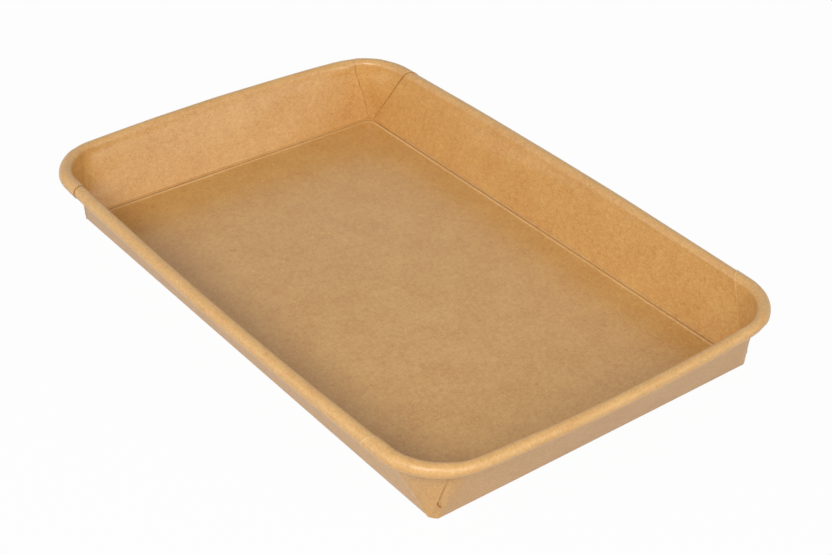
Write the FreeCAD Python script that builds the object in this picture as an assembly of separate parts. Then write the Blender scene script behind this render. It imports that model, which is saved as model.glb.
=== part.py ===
import FreeCAD, Part
import math
import os

# One-piece folded board tray with flared walls, web corners and a curled rim.
# Millimetres, X along the long side, Y along the short side, Z up.
# The origin is under the middle of the floor.

Vector = FreeCAD.Vector
up = Vector(0, 0, 1)

# sheet
board = 0.45

# rim, measured over the outside of the curl
rimLength = 230.0
rimWidth = 146.5
trayHeight = 23.6
rimCornerRadius = 22.4
longSideBow = 1.8
shortSideBow = 2.0

# foot of the walls: how far it lies inside the rim at the ends and at the sides
endSpread = 12.55
sideSpread = 11.75
footCornerRadius = 2.0
footBow = 0.1

# pressed margin that lifts the foot of the walls off the floor
marginWidth = 2.2
marginRise = 0.35
floorCornerRadius = 3.2

# curled rim: a hollow roll that starts tangent to the wall and ends in a free lip,
# creased into narrow flat strips as the board is rolled
curlRadius = 2.1
curlStart = 159.0
curlEnd = -150.0
innerStrips = 7
outerStrips = 2 * innerStrips

# web corners: the wall's corner patch runs from the fold at the web's mouth, on the
# long side, to the web's trimmed edge, and stands proud where it lies over the layers;
# its thicker roll stops a strip short of the lip
seamFromEnd = 28.5
trimBearing = -27.6
mouthFromFootEnd = 2.65
trimFootShare = 0.85
patchStep = 0.25
patchShortBy = 1

# folded web outside the corner, seen square to it: first number along the wall,
# second number up, both from the corner's foot
earBearing = -58.0
earFoot = (0.75, 0.15)
earTipLow = (1.65, 2.35)
earTipHigh = (3.05, 5.35)
earNotchMiddle = (2.3, 6.0)
earNotchTop = (2.1, 6.95)
earTrimBow = 0.3
earSeamLead = 1.5
earTopMargin = 0.6
earLayers = 2
earSink = 0.15

# stretches that the bowed sides are made in
longStretches = 4
shortStretches = 2


def polar(radius, bearing):
    a = math.radians(bearing)
    return Vector(radius * math.cos(a), radius * math.sin(a), 0)


def bearing(vector):
    return math.degrees(math.atan2(vector.y, vector.x))


def bowRadius(span, bow):
    return (span ** 2 + bow ** 2) / (2 * bow)


def outline(length, width, corner, longBow, shortBow):
    """Arcs of a rounded rectangle with bowed sides: centre, radius, first and last bearing."""
    longRadius = bowRadius(length / 2 - corner, longBow)
    shortRadius = bowRadius(width / 2 - corner, shortBow)
    longCentre = Vector(0, longRadius - width / 2, 0)
    shortCentre = Vector(length / 2 - shortRadius, 0, 0)
    # the corner arc touches both side arcs from within
    across = shortCentre - longCentre
    gap = across.Length
    reachLong = longRadius - corner
    reachShort = shortRadius - corner
    along = (reachLong ** 2 - reachShort ** 2 + gap ** 2) / (2 * gap)
    beside = math.sqrt(reachLong ** 2 - along ** 2)
    unit = across * (1 / gap)
    middle = longCentre + unit * along
    offset = Vector(-unit.y, unit.x, 0) * beside
    centre = max((middle + offset, middle - offset), key=lambda p: p.x - p.y)
    a = bearing(centre - longCentre)
    b = bearing(centre - shortCentre)
    x, y = centre.x, centre.y
    return [
        (longCentre, longRadius, -180 - a, a),
        (Vector(x, y, 0), corner, a, b),
        (shortCentre, shortRadius, b, -b),
        (Vector(x, -y, 0), corner, -b, -a),
        (longCentre * -1, longRadius, -a, 180 + a),
        (Vector(-x, -y, 0), corner, 180 + a, 180 + b),
        (shortCentre * -1, shortRadius, 180 + b, 180 - b),
        (Vector(-x, y, 0), corner, 180 - b, 180 - a),
    ]


def divided(arcs, shares):
    """Cut each arc at its shares of the way along, so that two outlines pair up."""
    parts = []
    for (centre, radius, first, last), cuts in zip(arcs, shares):
        stops = [first + (last - first) * share for share in [0] + cuts + [1]]
        parts += [(centre, radius, a, b) for a, b in zip(stops, stops[1:])]
    return parts


def ring(arcs, offset, level, steps=None):
    """Edges of an outline moved outward by the offset and raised to the level."""
    edges = []
    for (centre, radius, first, last), step in zip(arcs, steps or [0] * len(arcs)):
        # a step moves the edge inward, square to the wall
        reach = radius + offset - step * math.cos(lean)
        middle = centre + up * (level + step * math.sin(lean))
        circle = Part.Circle(middle, up, reach)
        edges.append(Part.ArcOfCircle(circle, math.radians(first), math.radians(last)).toShape())
    return edges


def band(lower, upper):
    return [Part.makeRuledSurface(a, b) for a, b in zip(lower, upper)]


def cap(edges):
    return [Part.Face(Part.Wire(edges))]


def closed(faces):
    shell = Part.makeShell(faces)
    shell.sewShape()
    solid = Part.makeSolid(shell)
    if solid.Volume < 0:
        solid.reverse()
    return solid


def join(first, second):
    return Part.makeLine(first, second)


def onRoll(arc, place, radius, share):
    """Point on the roll, seen across the rim at one bearing, at a share of the full curl."""
    angle = math.radians(curlStart + (curlEnd - curlStart) * share)
    reach = arc[1] - curlRadius + radius * math.cos(angle)
    return arc[0] + polar(reach, place) + up * (curlLevel + radius * math.sin(angle))


def rollEdges(arc, place, radius, strips, shares=(0, 1)):
    """The roll's section between two shares of the curl, as short straight edges."""
    stops = range(round(shares[0] * strips), round(shares[1] * strips) + 1)
    points = [onRoll(arc, place, radius, stop / strips) for stop in stops]
    return [join(a, b) for a, b in zip(points, points[1:])]


def across(arc, place, radii, share):
    points = [onRoll(arc, place, radius, share) for radius in radii]
    return [join(a, b) for a, b in zip(points, points[1:])]


def rollSection(arc, step):
    """The roll's inner face, free lip and outer face across the rim."""
    place = arc[2]
    radii, end = [innerSkin, curlRadius], 1
    if step:
        # the thicker layers of a web corner curl less far round
        radii, end = radii + [curlRadius + step], patchCurlShare
    section = rollEdges(arc, place, radii[0], innerStrips, (0, end))
    section += across(arc, place, radii, end)
    return section + rollEdges(arc, place, radii[-1], outerStrips, (0, end))


def patchEdge(rimArc, footArc):
    """Faces at one side of a corner patch: up the wall, over the roll and on its lip."""
    place = rimArc[3]
    plain, proud = curlRadius, curlRadius + patchStep
    corner = footArc[0] + polar(footArc[1] + footShift, footArc[3]) + up * footLevel
    starts = [onRoll(rimArc, place, radius, 0) for radius in (plain, proud)]
    onWall = [join(corner, starts[0]), join(*starts), join(starts[1], corner)]
    shared, rest = (0, patchCurlShare), (patchCurlShare, 1)
    onRim = rollEdges(rimArc, place, plain, outerStrips, shared)
    onRim += across(rimArc, place, (plain, proud), patchCurlShare)
    onRim += rollEdges(rimArc, place, proud, outerStrips, shared)[::-1]
    onRim += across(rimArc, place, (proud, plain), 0)
    onLip = rollEdges(rimArc, place, innerSkin, innerStrips, rest)
    onLip += across(rimArc, place, (innerSkin, plain), 1)
    onLip += rollEdges(rimArc, place, plain, outerStrips, rest)[::-1]
    onLip += across(rimArc, place, (plain, innerSkin), patchCurlShare)
    return [Part.Face(Part.Wire(edges)) for edges in (onWall, onRim, onLip)]


def atAllCorners(shape):
    pair = [shape, shape.mirror(Vector(0, 0, 0), Vector(1, 0, 0))]
    return pair + [s.mirror(Vector(0, 0, 0), Vector(0, 1, 0)) for s in pair]


rim = outline(rimLength, rimWidth, rimCornerRadius, longSideBow, shortSideBow)
footLength = rimLength - 2 * endSpread
footWidth = rimWidth - 2 * sideSpread
floorLength = footLength - 2 * marginWidth
floorWidth = footWidth - 2 * marginWidth
foot = outline(footLength, footWidth, footCornerRadius, footBow, footBow)
floor = outline(floorLength, floorWidth, floorCornerRadius, footBow, footBow)


def shareAt(arc, x):
    """Share of the way along a long side's arc at a distance along X."""
    return (math.degrees(math.asin(x / arc[1])) - 90 - arc[2]) / (arc[3] - arc[2])


def sharesFor(seam, trim):
    """Cuts for the long side, a corner, the short side and the next corner, twice."""
    steps = [i / longStretches for i in range(longStretches + 1)]
    along = [1 - seam + (2 * seam - 1) * step for step in steps]
    across = [i / shortStretches for i in range(1, shortStretches)]
    return 2 * [along, [trim], across, [1 - trim]]


corner = rim[1]
rimShares = sharesFor(
    shareAt(rim[0], rimLength / 2 - seamFromEnd),
    (trimBearing - corner[2]) / (corner[3] - corner[2]),
)
footShares = sharesFor(shareAt(foot[0], footLength / 2 - mouthFromFootEnd), trimFootShare)
rimParts = divided(rim, rimShares)
footParts = divided(foot, footShares)
floorParts = divided(floor, footShares)
plainLong = [0] * longStretches
plainShort = [0] * (shortStretches + 2)
steps = 2 * ([patchStep] + plainLong + [patchStep, patchStep] + plainShort + [patchStep])

# the sheet's two faces where the wall meets the roll
curlLevel = trayHeight - patchStep - curlRadius
innerSkin = curlRadius - board
lean = math.radians(180 - curlStart)
patchCurlShare = 1 - patchShortBy / innerStrips
insideInset = curlRadius + curlRadius * math.cos(lean)
insideLevel = curlLevel + curlRadius * math.sin(lean)
outsideInset = curlRadius + innerSkin * math.cos(lean)
outsideLevel = curlLevel + innerSkin * math.sin(lean)

# the sheet's upper face at the foot, where margin and wall both keep its thickness
marginSlope = math.atan2(marginRise, marginWidth)
marginLift = board / math.cos(marginSlope)
footShift = marginLift * math.tan(lean) - board / math.cos(lean)
footShift = footShift / (1 - math.tan(marginSlope) * math.tan(lean))
footLevel = marginRise + marginLift + footShift * math.tan(marginSlope)
floorShift = -board * math.tan(marginSlope / 2)

# rings of the sheet, from the underside of the floor round to its upper face
underFloor = ring(floorParts, 0, 0)
underFoot = ring(footParts, 0, marginRise)
underCurl = ring(rimParts, -outsideInset, outsideLevel)
overCurl = ring(rimParts, -insideInset, insideLevel, steps)
overFoot = ring(footParts, footShift, footLevel)
overFloor = ring(floorParts, floorShift, board)

sheet = cap(underFloor) + band(underFloor, underFoot) + band(underFoot, underCurl)
sheet += band(overCurl, overFoot) + band(overFoot, overFloor) + cap(overFloor)
for arc, footArc, step, nextStep in zip(rimParts, footParts, steps, steps[1:] + steps[:1]):
    for edge in rollSection(arc, step):
        sheet += edge.revolve(arc[0], up, arc[3] - arc[2]).Faces
    if step != nextStep:
        sheet += patchEdge(arc, footArc)
tray = closed(sheet)

# folded web: layers laid on the outside of the corner, cut to the ear's outline
earThickness = board * earLayers
wallRings = [
    ring(footParts, -earSink, marginRise),
    ring(rimParts, -outsideInset - earSink, outsideLevel),
    ring(rimParts, earThickness - outsideInset, outsideLevel),
    ring(footParts, earThickness, marginRise),
]
pairs = zip(wallRings, wallRings[1:] + wallRings[:1])
layers = closed([face for lower, upper in pairs for face in band(lower, upper)])

sideways = polar(1, earBearing + 90)
outward = polar(1, earBearing)
webFoot = foot[1][0] + polar(footCornerRadius, earBearing) + up * marginRise
earBase = webFoot - outward * trayHeight


def place(point):
    return earBase + sideways * point[0] + up * point[1]


def alongWall(arc, bearingAlong):
    """Distance from the corner's foot, along the wall, of a place at the top of the wall."""
    onWall = arc[0] + polar(arc[1] - outsideInset, bearingAlong)
    return (onWall - webFoot).dot(sideways)


earTop = outsideLevel - marginRise + earTopMargin
seamTop = (alongWall(rimParts[0], -rimParts[0][3] - 180) - earSeamLead, earTop)
trimTop = (alongWall(corner, trimBearing), earTop)
trimMiddle = ((earNotchTop[0] + trimTop[0]) / 2 - earTrimBow, (earNotchTop[1] + earTop) / 2)
earWire = Part.Wire([
    join(place(earFoot), place(earTipLow)),
    join(place(earTipLow), place(earTipHigh)),
    Part.Arc(place(earTipHigh), place(earNotchMiddle), place(earNotchTop)).toShape(),
    Part.Arc(place(earNotchTop), place(trimMiddle), place(trimTop)).toShape(),
    join(place(trimTop), place(seamTop)),
    join(place(seamTop), place(earFoot)),
])
earCutter = Part.Face(earWire).extrude(outward * 2 * trayHeight)
ear = layers.common(earCutter)

tray = tray.fuse(atAllCorners(ear))

os.makedirs("parts", exist_ok=True)
tray.exportStep("parts/tray.step")
print("solids", len(tray.Solids), "valid", tray.isValid(), "volume", round(tray.Volume, 1))
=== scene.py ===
import bpy
import math
from mathutils import Matrix, Vector


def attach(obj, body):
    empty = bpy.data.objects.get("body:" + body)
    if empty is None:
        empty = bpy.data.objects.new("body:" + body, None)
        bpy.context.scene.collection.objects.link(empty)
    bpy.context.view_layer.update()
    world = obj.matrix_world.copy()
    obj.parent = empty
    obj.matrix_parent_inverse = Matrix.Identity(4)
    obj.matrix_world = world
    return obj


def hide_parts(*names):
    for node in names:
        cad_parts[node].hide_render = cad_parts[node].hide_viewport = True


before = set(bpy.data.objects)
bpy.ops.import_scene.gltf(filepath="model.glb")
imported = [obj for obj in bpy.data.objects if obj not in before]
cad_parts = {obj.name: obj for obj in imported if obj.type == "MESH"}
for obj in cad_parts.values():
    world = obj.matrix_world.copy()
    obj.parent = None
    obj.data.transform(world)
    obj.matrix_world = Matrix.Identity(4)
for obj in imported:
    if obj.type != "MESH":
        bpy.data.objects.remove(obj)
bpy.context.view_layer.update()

mm = 0.001
print("frame loaded")

# sizes in mm, places on the outlines counted in arcs: 0 to 1 is the near long side,
# 1 to 2 the near corner, 2 to 3 the near short side, and so on round to 8
tray = {
    "board": 0.45,
    "rim": (229.8, 146.3, 22.4, 1.8, 2.0),  # length, width, corner radius, bow of long and short sides
    "foot": (204.9, 123.0, 2.0, 0.1, 0.1),
    "floor": (200.5, 118.6, 3.2, 0.1, 0.1),
    "wallInset": 0.25,  # where the wall's inner face starts, inside the foot's outline and up
    "wallStart": 0.75,
    "rimTop": 23.2,
    "rollLong": 2.25,  # radius of the roll on the long sides, the short sides, more in a corner's layers
    "rollShort": 1.95,
    "rollThicker": 0.24,
    "curlStart": 159.0,
    "curlEnd": -146.0,
    "curlEndLayers": -118.0,
    "proudFoot": 0.10,  # how far a corner patch stands in front of the long wall
    "flatter": 0.5,  # how far a corner patch is drawn from its round section to a straight one,
    "flatterFade": (0.5, 0.96),  # and between which shares of the wall's height that fades
    "neckLong": 0.06,  # hollow under the roll on the long and the short sides,
    "neckShort": 0.20,
    "neckBand": (0.9, 0.06),  # and the height and half width of its band on the wall
    "wallWaves": 0.16,
    "rimWaves": 0.09,
    "wallRings": 18,
    "rollRings": 28,
    "longColumns": 64,
    "shortColumns": 34,
}

# where the folds of a corner run, seen as if it were the near one: the mouth's distance along X
# at the foot, the trimmed edge's bearing on the rim and its place on the foot
folds = {"mouthFoot": 100.1, "trimRim": -27.6, "trimFoot": 0.85}
corners = {
    "near": {
        "mouth": 84.2,  # distance along X at the roll
        "layer": 0.26,  # thickness of a layer of the web, and over how many mm it rises at the fold
        "soft": 0.45,
        "slit": 0.06,  # depth of the slit at the mouth
        "paintedLight": 1.3,  # above 0 a painted highlight along the fold, below 0 painted shade in it
        "mark": 0.1,  # how plainly the trimmed edge shows through, as a groove and a line of painted shade
        "skew": (2.6, -7.2),  # how the seam runs askew over the roll
    },
    "right": {
        "mouth": 88.6, "layer": 0.08, "soft": 1.2, "slit": 0.05, "paintedLight": 1.1, "mark": 0.1, "skew": (0, -8.0),
    },
    "far": {
        "mouth": 88.6, "layer": 0.36, "soft": 0.6, "slit": 0.3, "paintedLight": -0.3, "mark": 1.0, "skew": (0, -8.0),
    },
    "left": {
        "mouth": 85.6, "layer": 0.06, "soft": 2.4, "slit": 0.16, "paintedLight": -0.5, "mark": 0.2, "skew": (0, -1.5),
    },
}


def outlineArcs(length, width, corner, longBow, shortBow):
    # centre x, centre y, radius, first and last bearing of the eight arcs
    longRadius = ((length / 2 - corner) ** 2 + longBow ** 2) / (2 * longBow)
    shortRadius = ((width / 2 - corner) ** 2 + shortBow ** 2) / (2 * shortBow)
    longCentre = Vector((0, longRadius - width / 2))
    shortCentre = Vector((length / 2 - shortRadius, 0))
    across = shortCentre - longCentre
    gap = across.length
    reach = longRadius - corner
    along = (reach ** 2 - (shortRadius - corner) ** 2 + gap ** 2) / (2 * gap)
    beside = math.sqrt(reach ** 2 - along ** 2)
    unit = across / gap
    middle = longCentre + unit * along
    turned = Vector((-unit.y, unit.x)) * beside
    centre = max((middle + turned, middle - turned), key=lambda p: p.x - p.y)
    a = math.degrees(math.atan2(centre.y - longCentre.y, centre.x - longCentre.x))
    b = math.degrees(math.atan2(centre.y - shortCentre.y, centre.x - shortCentre.x))
    x, y = centre
    return [
        (0, longCentre.y, longRadius, -180 - a, a),
        (x, y, corner, a, b),
        (shortCentre.x, 0, shortRadius, b, -b),
        (x, -y, corner, -b, -a),
        (0, -longCentre.y, longRadius, -a, 180 + a),
        (-x, -y, corner, 180 + a, 180 + b),
        (-shortCentre.x, 0, shortRadius, 180 + b, 180 - b),
        (-x, y, corner, 180 - b, 180 - a),
    ]


def pointOn(arcs, place, offset):
    place = place % 8
    index = min(int(place), 7)
    cx, cy, radius, first, last = arcs[index]
    bearing = math.radians(first + (last - first) * (place - index))
    out = Vector((math.cos(bearing), math.sin(bearing)))
    return Vector((cx, cy)) + out * (radius + offset), out


rimArcs = outlineArcs(*tray["rim"])
footArcs = outlineArcs(*tray["foot"])
floorArcs = outlineArcs(*tray["floor"])
# mm in one place of a long side, of a rim corner and of a foot corner
longRun, cornerRun, footRun = 186.0, 32.5, 3.1


def placeOnLong(arcs, x):
    radius, first, last = arcs[0][2:]
    bearing = math.degrees(math.asin(x / radius)) - 90
    return (bearing - first) / (last - first)


def smooth(t):
    t = min(max(t, 0.0), 1.0)
    return t * t * (3 - 2 * t)


def hump(t, middle, width):
    return math.exp(-((t - middle) / width) ** 2)


def between(value, stops):
    # straight lines between pairs of place and value
    for (a, p), (b, q) in zip(stops, stops[1:]):
        if value <= b:
            return p + (q - p) * max(value - a, 0) / (b - a)
    return stops[-1][1]


def cornerAt(place):
    return list(corners)[int(((place - 0.5) % 8) // 2)]


def swapped(name, place):
    # from a place at this corner to the same place at the near one, and back
    start, sense = {"near": (0, 1), "right": (5, -1), "far": (4, 1), "left": (9, -1)}[name]
    return (start + sense * place) % 8


def foldPlaces(name):
    # the mouth's fold and the trimmed edge, each as a place on the rim and one on the foot
    mouth = (placeOnLong(rimArcs, corners[name]["mouth"]), placeOnLong(footArcs, folds["mouthFoot"]))
    first, last = rimArcs[1][3], rimArcs[1][4]
    return mouth, (1 + (folds["trimRim"] - first) / (last - first), 1 + folds["trimFoot"])


def acrossPatch(name, placeRim):
    # 0 at the mouth's fold, 1 at the trimmed edge
    mouth, trim = foldPlaces(name)
    start = (1 - mouth[0]) * longRun
    whole = start + (trim[0] - 1) * cornerRun
    if placeRim < 1:
        return (placeRim - mouth[0]) * longRun / whole
    return (start + (placeRim - 1) * cornerRun) / whole


def spread(a, b, count):
    return [tuple(p + (q - p) * i / count for p, q in zip(a, b)) for i in range(1, count + 1)]


# a column of the sheet: place on the rim, place on the foot, share of the corner's step,
# depth of the slit, weight of the trimmed edge's wander, painted light
def cornerColumns(name):
    mouth, trim = foldPlaces(name)
    slit, paintedLight, mark = (corners[name][key] for key in ("slit", "paintedLight", "mark"))
    row = []
    # the last value paints light along the fold: above 0 a highlight on its edge, below 0 shade in the slit
    # and on the edge
    for x, share, depth, paintedLightLevel in (  # mm along from the fold
        (-0.9, 0, 0, 0), (-0.3, 0, 0.04, 0), (-0.1, 0, 0.25, 0), (-0.02, 0, 1, min(paintedLight, 0)),
        (0.08, 0.1, 1, paintedLight), (0.16, 0.75, 0.1, paintedLight), (0.36, 1, 0, max(paintedLight, 0)), (0.9, 1, 0, 0),
    ):
        row.append((mouth[0] + x / longRun, mouth[1] + 0.2 * x / longRun, share, depth * slit, 0, paintedLightLevel))
    corner = (1, 1, 1, 0, 0, 0)
    row += spread(row[-1], corner, 7)
    row += spread(corner, (trim[0] - 0.05, trim[1] - 0.05, 1, 0, 1, 0), 24)
    # the last value paints shade along the trimmed edge's crease, with a faint painted highlight just before
    # it
    for x, share, depth, paintedLightLevel in (
        (-0.014, 0.95, 0, 0.1), (-0.004, 0.85, 0.03, -0.15), (0, 0.62, 0.14, -0.5),
        (0.005, 0.5, 0.03, -0.15), (0.02, 0.34, 0, 0), (0.06, 0.06, 0, 0),
    ):
        row.append((trim[0] + x, trim[1] + x, share, depth * mark, 1, paintedLightLevel * mark))
    return row + spread(row[-1], (2, 2, 0, 0, 0, 0), 9)


columns = []
for name in corners:
    part = [(swapped(name, c[0]), swapped(name, c[1])) + c[2:] for c in cornerColumns(name)]
    if name in ("right", "left"):
        part.reverse()
    if part[-1][0] < part[0][0]:
        part = [(r + 8 if r < 1 else r, f + 8 if f < 1 else f) + tuple(rest) for r, f, *rest in part]
    if columns:
        count = tray["longColumns"] if name == "far" else tray["shortColumns"]
        columns += spread(columns[-1], part[0], count)[:-1]
    columns += part
closing = (columns[0][0] + 8, columns[0][1] + 8) + columns[0][2:]
columns += spread(columns[-1], closing, tray["longColumns"])[:-1]
print("columns", len(columns))

# the pressed margin: mm outside the floor's outline, rise in mm, painted light: a painted highlight on the
# bead, painted shade in the groove beside it
margin = [
    (-2.2, 0, 0), (-1.0, 0, 0), (-0.6, 0.02, 0), (-0.35, 0.10, 0.5), (-0.1, 0.16, 1.0), (0.2, 0.16, 1.0),
    (0.45, 0.06, 0.2), (0.65, 0.02, -0.3), (0.85, 0.01, -0.45), (1.05, 0.03, -0.35), (1.2, 0.09, 0),
    (1.5, 0.22, 0),
]
# a ring of the sheet: part, place in it, rise, painted light
wallRings, rollRings = tray["wallRings"], tray["rollRings"]
rings = [("floor", *line) for line in margin]
rings += [("wall", 0.0, 0, 0), ("wall", 0.02, 0, 0)]
rings += [("wall", (i + 0.9) / (wallRings + 0.6), 0, 0) for i in range(wallRings)]
rings += [("roll", i / rollRings, 0, 0.3 * smooth(i / 5)) for i in range(rollRings + 1)]  # painted sheen: the roll is drawn paler, and rougher


def ripple(place, seed, size, climb=0.0):
    # slow unevenness that closes on itself round the rim
    total = 0.0
    for k, (turns, weight) in enumerate(((3, 0.7), (5, 0.7), (9, 0.6), (14, 0.5), (23, 0.45), (37, 0.25))):
        total += weight * math.sin(turns * place * math.pi / 4 + seed * (k + 1.7) + climb * (1.2 + 0.9 * k))
    return total * size / 2


# the puckered lip beside the far corner's trimmed edge: place on the rim and its width,
# share of the wall's height and how far it reaches above and below, depth in mm
pucker = {"place": 5.90, "width": 0.12, "height": 0.935, "above": 0.09, "below": 0.045, "depth": 0.95}


def puckered(placeRim, height):
    local = hump(placeRim % 8, pucker["place"], pucker["width"])
    middle = pucker["height"] - 0.2 * (placeRim % 8 - pucker["place"]) + 0.015 * math.sin(placeRim * 60)
    lip = hump(height, middle, pucker["below" if height < middle else "above"])
    return pucker["depth"] * local * lip


def bySide(long, short, placeRim):
    # the first value on the long sides, the second on the short ones, easing over in the corners
    p = placeRim % 4
    share = smooth(p - 1) if p < 2 else (1.0 if p < 3 else 1 - smooth(p - 3))
    return long + (short - long) * share


def rollShape(placeRim, share):
    # radius of the roll's upper face, how far its centre lies inside the rim, level of the centre
    plain = bySide(tray["rollLong"], tray["rollShort"], placeRim)
    radius = plain + tray["rollThicker"] * share + ripple(placeRim, 2.0, 0.06)
    inset = plain + ripple(placeRim, 8.0, 0.04) + 0.05
    return radius, inset, tray["rimTop"] - plain + ripple(placeRim, 5.0, tray["rimWaves"])


def plainWall(placeRim, placeFoot, share, slit, t):
    radius, inset, level = rollShape(placeRim, share)
    lean = math.radians(180 - tray["curlStart"])
    low, out = pointOn(footArcs, placeFoot, -tray["wallInset"])
    high, outHigh = pointOn(rimArcs, placeRim, -inset - radius * math.cos(lean))
    side = out.lerp(outHigh, t).normalized()
    neck = bySide(tray["neckLong"], tray["neckShort"], placeRim)
    wave = ripple(placeRim, 11.0, tray["wallWaves"], 2.0 * t)
    inward = tray["proudFoot"] * share * (1 - t) - slit - neck * hump(t, *tray["neckBand"])
    inward += math.sin(t * math.pi) * wave + puckered(placeRim, t)
    p = low.lerp(high, t) - side * inward
    start, end = tray["wallStart"], level + radius * math.sin(lean)
    return Vector((p.x, p.y, start + (end - start) * t))


def wallPoint(placeRim, placeFoot, share, slit, t):
    # inner face of the wall, from the crease at 0 to the start of the roll at 1
    p = plainWall(placeRim, placeFoot, share, slit, t)
    name = cornerAt(placeRim)
    across = acrossPatch(name, swapped(name, placeRim))
    if not 0 < across < 1:
        return p
    mouth, trim = foldPlaces(name)
    a = plainWall(swapped(name, mouth[0]), swapped(name, mouth[1]), share, slit, t)
    b = plainWall(swapped(name, trim[0]), swapped(name, trim[1]), share, slit, t)
    low, high = tray["flatterFade"]
    return p.lerp(a.lerp(b, across), tray["flatter"] * (1 - smooth((t - low) / (high - low))))


def rollPoint(placeRim, share, slit, t):
    # round the roll, from the wall at 0 to the free lip at 1
    name = cornerAt(placeRim)
    near = swapped(name, placeRim)
    start, climb = corners[name]["skew"]
    askew = (start + climb * min(t, 0.6)) * hump(near, foldPlaces(name)[0][0], 0.05) * smooth(t / 0.06)
    placeRim = swapped(name, near + askew / longRun)
    radius, inset, level = rollShape(placeRim, share)
    radius -= slit * (1 if share < 0.5 else 0.4)
    end = tray["curlEnd"] + (tray["curlEndLayers"] - tray["curlEnd"]) * smooth(share)
    angle = math.radians(tray["curlStart"] + (end - tray["curlStart"]) * t)
    offset = -inset + radius * math.cos(angle) - puckered(placeRim, 1 + 0.5 * t)
    p = pointOn(rimArcs, placeRim, offset)[0]
    return Vector((p.x, p.y, level + radius * math.sin(angle)))


def sheetPoint(column, ring):
    # upper face of the board, in mm
    kind, t, rise = ring[:3]
    placeRim, placeFoot, share, slit, wander = column[:5]
    if kind == "floor":
        p = pointOn(floorArcs, placeFoot, t)[0]
        return Vector((p.x, p.y, tray["board"] + 0.01 + rise))
    drift = wander * (0.018 * math.sin(9 * t + 1) + 0.010 * math.sin(21 * t + 2))
    if kind == "wall":
        return wallPoint(placeRim + drift, placeFoot + drift, share, slit, t)
    return rollPoint(placeRim + 0.3 * drift, share, slit, t)


def sheetPaintedLight(column, ring):
    # painted light: above 0 a painted highlight, below 0 painted shade
    kind, t, rise, paintedLightLevel = ring
    fold = column[5]
    if kind == "floor":
        # painted highlight and painted shade of the margin, varied along the rim
        return paintedLightLevel * (1.0 + ripple(column[1], 4.0, 0.4, 7.0))
    if kind == "wall":
        # a painted highlight on the puckered lip
        return fold + 0.5 * puckered(column[0], t)
    return fold + paintedLightLevel * (1 + 2 * min(max(fold, -0.5), 0))  # no painted sheen where a fold's painted shade lies


def deselectAll():
    if bpy.context.object and bpy.context.object.mode != "OBJECT":
        bpy.ops.object.mode_set(mode="OBJECT")
    bpy.ops.object.select_all(action="DESELECT")


def activate(piece):
    deselectAll()
    piece.select_set(True)
    bpy.context.view_layer.objects.active = piece


def ringTube(name, count, levels):
    # a tube of rings drawn up from one circle, ready to be shaped
    deselectAll()
    bpy.ops.mesh.primitive_circle_add(vertices=count, radius=1, fill_type="NOTHING")
    piece = bpy.context.object
    piece.name = name
    bpy.ops.object.mode_set(mode="EDIT")
    bpy.ops.mesh.select_mode(type="VERT")
    bpy.ops.mesh.select_all(action="SELECT")
    for i in range(levels - 1):
        bpy.ops.mesh.extrude_edges_move(TRANSFORM_OT_translate={"value": (0, 0, 1)})
    bpy.ops.mesh.select_all(action="DESELECT")
    bpy.ops.object.mode_set(mode="OBJECT")
    return piece


sheet = ringTube("foldedBoard", len(columns), len(rings))
# painted light per point: above 0 a painted highlight, below 0 painted shade
paintedLightLevel = sheet.data.attributes.new("paintedLight", "FLOAT", "POINT")
for v in sheet.data.vertices:
    # each point knows its ring by its height and its column by its bearing
    turn = math.atan2(v.co.y, v.co.x) / (2 * math.pi) * len(columns)
    column, ring = columns[round(turn) % len(columns)], rings[round(v.co.z)]
    paintedLightLevel.data[v.index].value = sheetPaintedLight(column, ring)
    v.select = ring == rings[0]
    v.co = sheetPoint(column, ring) * mm
bpy.ops.object.mode_set(mode="EDIT")
bpy.ops.mesh.edge_face_add()  # the floor closes the first ring
bpy.ops.mesh.select_all(action="SELECT")
bpy.ops.mesh.normals_make_consistent(inside=False)
bpy.ops.object.mode_set(mode="OBJECT")
if max(sheet.data.polygons, key=lambda face: face.area).normal.z < 0:  # the upper face has to point up
    bpy.ops.object.mode_set(mode="EDIT")
    bpy.ops.mesh.flip_normals()
    bpy.ops.object.mode_set(mode="OBJECT")
print("sheet shaped", len(sheet.data.vertices))


# shader nodes as plain sums
class Shade:
    def __init__(self, tree, socket):
        self.tree = tree
        self.socket = socket

    def maths(self, operation, a, b):
        return addNode(self.tree, "ShaderNodeMath", {"operation": operation}, {0: a, 1: b})

    def __add__(self, other):
        return self.maths("ADD", self, other)

    def __radd__(self, other):
        return self.maths("ADD", other, self)

    def __sub__(self, other):
        return self.maths("SUBTRACT", self, other)

    def __rsub__(self, other):
        return self.maths("SUBTRACT", other, self)

    def __mul__(self, other):
        return self.maths("MULTIPLY", self, other)

    def __rmul__(self, other):
        return self.maths("MULTIPLY", other, self)

    def clamp(self, low=0.0, high=1.0):
        return self.maths("MINIMUM", self.maths("MAXIMUM", self, low), high)


def feed(tree, slot, value):
    if isinstance(value, Shade):
        tree.links.new(value.socket, slot)
    else:
        slot.default_value = value


def addNode(tree, kind, settings, values, output=0):
    node = tree.nodes.new(kind)
    for name, value in settings.items():
        setattr(node, name, value)
    for slot, value in values.items():
        feed(tree, node.inputs[slot], value)
    return Shade(tree, node.outputs[output])


def newMaterial(name):
    material = bpy.data.materials.new(name)
    material.use_nodes = True
    return material, material.node_tree, material.node_tree.nodes["Principled BSDF"].inputs


def linear(r, g, b):
    # a colour as seen on a screen, for the shader
    parts = (r / 255, g / 255, b / 255)
    return [c / 12.92 if c <= 0.04045 else ((c + 0.055) / 1.055) ** 2.4 for c in parts] + [1]


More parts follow.
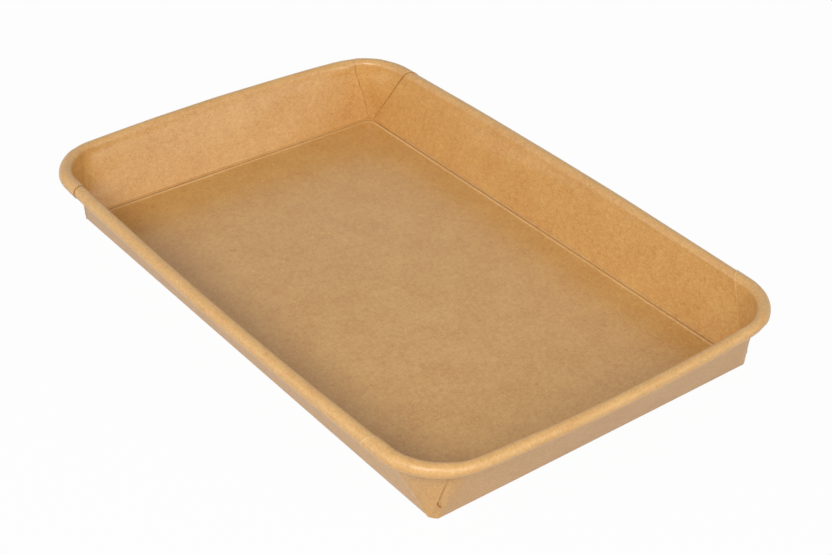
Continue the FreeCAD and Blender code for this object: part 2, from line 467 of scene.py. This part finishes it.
board = {
    "inside": {"fibres": ((185, 128, 61), (217, 173, 106)), "roughness": 0.30, "cloudy": 0.6},
    "outside": {"fibres": ((180, 131, 75), (210, 168, 109)), "roughness": 0.42, "cloudy": 0.5},
    # cut edges: partly the raw board's own darker colour, partly painted shade for the edge in shadow
    "shadedCutEdge": {"fibres": ((124, 84, 46), (158, 112, 66)), "roughness": 0.8, "cloudy": 0.5},
    "gloss": 1.56,
    "grain": 0.22,  # strength of the relief, then how fine the patterns are
    "clouds": 70,
    "flocks": 420,
    "fibres": 1500,
    "strays": 1300,
    "specks": 420,
    # colours of the painted highlight and the painted shade that the point attribute mixes in
    "paintedHighlightColour": (233, 196, 142),
    "paintedShadeColour": (120, 76, 36),
}


def kraft(name, face):
    material, tree, sockets = newMaterial(name)
    where = addNode(tree, "ShaderNodeTexCoord", {}, {}, 3)

    def noise(scale, detail, stretch=(1, 1, 1), distortion=0.0):
        placed = addNode(tree, "ShaderNodeMapping", {}, {"Vector": where, "Scale": stretch})
        values = {"Vector": placed, "Scale": scale, "Detail": detail, "Roughness": 0.6}
        values["Distortion"] = distortion
        return addNode(tree, "ShaderNodeTexNoise", {}, values)

    def mix(factor, a, b):
        return addNode(tree, "ShaderNodeMix", {"data_type": "RGBA"}, {0: factor, 6: a, 7: b}, 2)

    clouds = noise(board["clouds"], 3)
    flocks = noise(board["flocks"], 4, distortion=0.5)
    fibres = noise(board["fibres"], 3, (0.5, 1.5, 1.0), 1.0)
    strays = noise(board["strays"], 2, (1.6, 0.5, 1.0), 1.4)
    tone = 0.5 + (clouds - 0.5) * face["cloudy"] + (flocks - 0.5) * 0.5
    tone = tone + (fibres - 0.5) * 1.3 + (strays - 0.5) * 1.2
    dark, light = (linear(*colour) for colour in face["fibres"])
    shade = mix(tone.clamp(), dark, light)
    cells = addNode(tree, "ShaderNodeTexVoronoi", {}, {"Vector": where, "Scale": board["specks"]})
    specks = (1 - cells * 7).clamp() * ((noise(150, 2) - 0.56) * 9).clamp(0, 0.6)
    shade = mix(specks, shade, [c * 0.45 for c in dark[:3]] + [1])
    # painted light from the point attribute: a painted highlight colour above 0, a painted shade colour below
    # 0; above 0 it also raises the roughness
    paintedLight = addNode(tree, "ShaderNodeAttribute", {"attribute_name": "paintedLight"}, {}, 2)
    paintedHighlightShare = (paintedLight * (0.55 + (fibres - 0.5) * 1.2)).clamp(0, 0.8)
    shade = mix(paintedHighlightShare, shade, linear(*board["paintedHighlightColour"]))
    shade = mix((0 - paintedLight).clamp(0, 0.8), shade, linear(*board["paintedShadeColour"]))
    feed(tree, sockets["Base Color"], shade)
    feed(tree, sockets["Roughness"], face["roughness"] + (flocks - 0.5) * 0.12 + paintedLight.clamp(0, 0.4) * 0.3)
    feed(tree, sockets["IOR"], board["gloss"])
    height = flocks * 0.6 + fibres * 0.5 + strays * 0.3
    values = {"Height": height, "Strength": board["grain"], "Distance": 0.00008}
    feed(tree, sockets["Normal"], addNode(tree, "ShaderNodeBump", {}, values))
    return material


boardFaces = [
    kraft("kraftInside", board["inside"]),
    kraft("kraftOutside", board["outside"]),
    kraft("kraftCutEdgeShaded", board["shadedCutEdge"]),
]
print("materials made")


def thicken(piece, thickness):
    for material in boardFaces:
        piece.data.materials.append(material)
    activate(piece)
    solidify = piece.modifiers.new("boardThickness", "SOLIDIFY")
    solidify.thickness = thickness
    solidify.offset = -1
    solidify.material_offset = 1
    solidify.material_offset_rim = 2
    bpy.ops.object.modifier_apply(modifier=solidify.name)


upperPoints = len(sheet.data.vertices)
thicken(sheet, tray["board"] * mm)
for item in sheet.data.attributes["paintedLight"].data[upperPoints:]:
    item.value = 0  # the painted light is on the upper face only

# folded webs: two more layers of board on the outside of each corner
web = {
    "sunk": 0.10,  # mm by which the border lies in the wall's board
    "depth": 0.94,  # a layer's own share of its thickness, the rest is air
    "rootSoftness": 1.6,  # mm over which it sinks into the short wall below the notch
    "onLongWall": (0.42, 0.189),  # share of a row that lies on the long wall, at the foot and at the top
    "notch": (0.205, 0.222),
    "edge": [  # height on the wall and place of the trimmed edge, with its notch near the foot
        (0.0, 1.47), (0.045, 1.52), (0.105, 1.64), (0.175, 1.742), (0.205, 1.755), (0.218, 1.735),
        (0.227, 1.690), (0.240, 1.645), (0.265, 1.612), (0.300, 1.608), (0.410, 1.643), (0.54, 1.672),
        (0.64, 1.688), (0.805, 1.705), (1.0, 1.722),
    ],
    "rows": [
        0.004, 0.02, 0.04, 0.07, 0.10, 0.13, 0.155, 0.175, 0.19, 0.20, 0.205, 0.2125, 0.218, 0.2225, 0.227,
        0.2335, 0.24, 0.25, 0.265, 0.28, 0.30, 0.33, 0.37, 0.41, 0.48, 0.54, 0.6, 0.64, 0.72, 0.78, 0.84,
        0.89, 0.93,
    ],
    "stops": [
        0, 0.008, 0.018, 0.03, 0.045, 0.065, 0.09, 0.12, 0.16, 0.21, 0.27, 0.33, 0.4, 0.46, 0.52, 0.58, 0.64,
        0.7, 0.76, 0.82, 0.87, 0.91, 0.94, 0.96, 0.975, 0.987, 1,
    ],
}


def outerWall(name, placeRim, placeFoot, t, offset):
    # a point off the outer face of the wall in a corner patch
    def inner(shift, climb):
        return wallPoint(swapped(name, placeRim + shift), swapped(name, placeFoot + shift), 1, 0, t + climb)

    along = inner(0.002, 0) - inner(-0.002, 0)
    up = inner(0, 0.01) - inner(0, -0.01)
    out = along.cross(up).normalized()
    middle = inner(0, 0)
    if out.x * middle.x + out.y * middle.y < 0:
        out = -out
    return middle + out * (tray["board"] + offset)


def webPoint(name, a, t, layer, upper):
    corner = corners[name]
    mouth, trim = foldPlaces(name)
    edge = between(t, web["edge"])
    # the first part of a row lies on the long wall, the rest goes round the corner
    low, high = web["onLongWall"]
    turn = low + (high - low) * t
    fromMouth = toEdge = 99
    if a < turn:
        placeRim, placeFoot = (m + (1 - m) * a / turn for m in mouth)
        fromMouth = ((1 - mouth[0]) * t + (1 - mouth[1]) * (1 - t)) * longRun * a / turn
    else:
        placeRim = placeFoot = 1 + (edge - 1) * (a - turn) / (1 - turn)
        toEdge = (cornerRun * t + footRun * (1 - t)) * (edge - placeRim)
    rise = smooth(fromMouth / corner["soft"])
    notchLow, notchHigh = web["notch"]
    if t < notchHigh:
        root = smooth(toEdge / web["rootSoftness"])
        root += (1 - root) * smooth((t - notchLow) / (notchHigh - notchLow))
        rise *= root
    # the foot draws in to the wall, and at the corner a small tip stays
    tip = smooth((a / turn - 0.4) / 0.6)
    rise *= smooth((t + 0.01 + 0.07 * tip) / 0.14)
    level = (layer + (web["depth"] if upper else 0)) * corner["layer"] * rise
    level *= 1 + 0.6 * hump(t, 0, 0.12) * tip
    sunk = web["sunk"] * (1 if upper else 2) * (1 - rise)
    # a painted highlight along the fold's crest on the web's upper face, where the corner's fold value is
    # above 0
    paintedHighlightShare = 1.6 * max(corner["paintedLight"], 0) * hump(fromMouth, corner["soft"] * 0.9, 0.3)
    return outerWall(name, placeRim, placeFoot, t, level - sunk), paintedHighlightShare if upper else 0


def webLayer(name, layer):
    columnCount, rowCount = len(web["stops"]) - 1, len(web["rows"]) - 1
    blankDepth = 0.1
    deselectAll()
    bpy.ops.mesh.primitive_grid_add(x_subdivisions=columnCount, y_subdivisions=rowCount, size=1)
    piece = bpy.context.object
    piece.name = name + "Web" + str(layer + 1)
    thicken(piece, blankDepth)
    for polygon in piece.data.polygons:
        polygon.material_index = max(polygon.material_index, 1)  # the outside tone on both faces
    # painted light per point: a painted highlight along the web's fold
    paintedLightLevel = piece.data.attributes.new("paintedLight", "FLOAT", "POINT")
    for v in piece.data.vertices:
        a = web["stops"][round((v.co.x + 0.5) * columnCount)]
        t = web["rows"][round((v.co.y + 0.5) * rowCount)]
        point, paintedLightLevel.data[v.index].value = webPoint(name, a, t, layer, v.co.z > -blankDepth / 2)
        v.co = point * mm
    activate(piece)
    bpy.ops.object.mode_set(mode="EDIT")
    bpy.ops.mesh.select_all(action="SELECT")
    bpy.ops.mesh.normals_make_consistent(inside=False)
    bpy.ops.object.mode_set(mode="OBJECT")
    return piece


webs = [webLayer(name, layer) for name in corners for layer in (0, 1)]
deselectAll()
for piece in webs + [sheet]:
    piece.select_set(True)
bpy.context.view_layer.objects.active = sheet
bpy.ops.object.join()
bpy.ops.object.shade_smooth_by_angle(angle=math.radians(40))
print("board built", len(sheet.data.polygons))
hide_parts("tray")
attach(sheet, "root")

# floor, light and camera
stage = {
    "floorColour": 0.6,
    "floorWhite": 0.97,  # how much of the floor's own white the camera sees
    "world": 0.26,
    "lamps": {
        "farSoftbox": {"place": (1.05, 0.42, 0.45), "power": 3.4, "size": 1.0},
        "rightSoftbox": {"place": (1.05, -0.30, 0.58), "power": 4.6, "size": 0.5},
        "frontSoftbox": {"place": (0.42, -0.80, 0.72), "power": 6.4, "size": 0.35},
        "leftSoftbox": {"place": (-0.50, -1.15, 0.40), "power": 4.0, "size": 1.0},
    },
}


def seenPlainly(tree):
    # 1 for what the camera sees straight or in a gloss, 0 for the light on the tray
    straight = addNode(tree, "ShaderNodeLightPath", {}, {}, 0)
    inGloss = addNode(tree, "ShaderNodeLightPath", {}, {}, 3)
    return (straight + inGloss).clamp()


deselectAll()
bpy.ops.mesh.primitive_plane_add(size=8, location=(0, 0, -0.0002))
floor = bpy.context.object
floor.name = "studioFloor"
floorMaterial, tree, sockets = newMaterial("paleFloor")
feed(tree, sockets["Base Color"], (stage["floorColour"],) * 3 + (1,))
feed(tree, sockets["Roughness"], 0.9)
feed(tree, sockets["Specular IOR Level"], 0.0)
factor = seenPlainly(tree) * stage["floorWhite"]
white = addNode(tree, "ShaderNodeEmission", {}, {"Color": (1, 1, 1, 1), "Strength": 1.0})
plain = Shade(tree, tree.nodes["Principled BSDF"].outputs[0])
blend = addNode(tree, "ShaderNodeMixShader", {}, {0: factor, 1: plain, 2: white})
feed(tree, tree.nodes["Material Output"].inputs[0], blend)
floor.data.materials.append(floorMaterial)

for name, lamp in stage["lamps"].items():
    deselectAll()
    turn = (-Vector(lamp["place"])).to_track_quat("-Z", "Y").to_euler()
    bpy.ops.object.light_add(type="AREA", location=lamp["place"], rotation=turn)
    light = bpy.context.object
    light.name = name
    light.data.energy = lamp["power"]
    light.data.size = lamp["size"]

world = bpy.data.worlds.new("studio")
world.use_nodes = True
tree = world.node_tree
background = tree.nodes["Background"].inputs
feed(tree, background["Color"], (1, 1, 1, 1))
feed(tree, background["Strength"], stage["world"] + seenPlainly(tree) * (1 - stage["world"]))
bpy.context.scene.world = world

view = {
    "place": (407.33, -285.78, 329.11),
    "azimuth": 50.03,
    "elevation": 33.2,
    "roll": 1.41,
    "width": 832,  # of the picture, in pixels, as are the next two
    "focal": 1788.75,
    "sideShift": 109.82,
}
azimuth, elevation, roll = (math.radians(view[key]) for key in ("azimuth", "elevation", "roll"))
level = Vector((math.cos(azimuth), math.sin(azimuth), 0))
away = Vector((math.sin(azimuth), -math.cos(azimuth), 0))
back = away * math.cos(elevation) + Vector((0, 0, math.sin(elevation)))
upright = back.cross(level)
rightward = level * math.cos(roll) + upright * math.sin(roll)
upward = upright * math.cos(roll) - level * math.sin(roll)
bpy.ops.object.camera_add()
camera = bpy.context.object
camera.name = "photoCamera"
turn = Matrix((rightward, upward, back)).transposed().to_4x4()
camera.matrix_world = Matrix.Translation(Vector(view["place"]) * mm) @ turn
camera.data.sensor_width = 36
camera.data.lens = view["focal"] / view["width"] * camera.data.sensor_width
camera.data.shift_x = -view["sideShift"] / view["width"]
camera.data.clip_start = 0.01
bpy.context.scene.camera = camera
bpy.context.scene.view_settings.view_transform = "Standard"
print("stage and camera set")
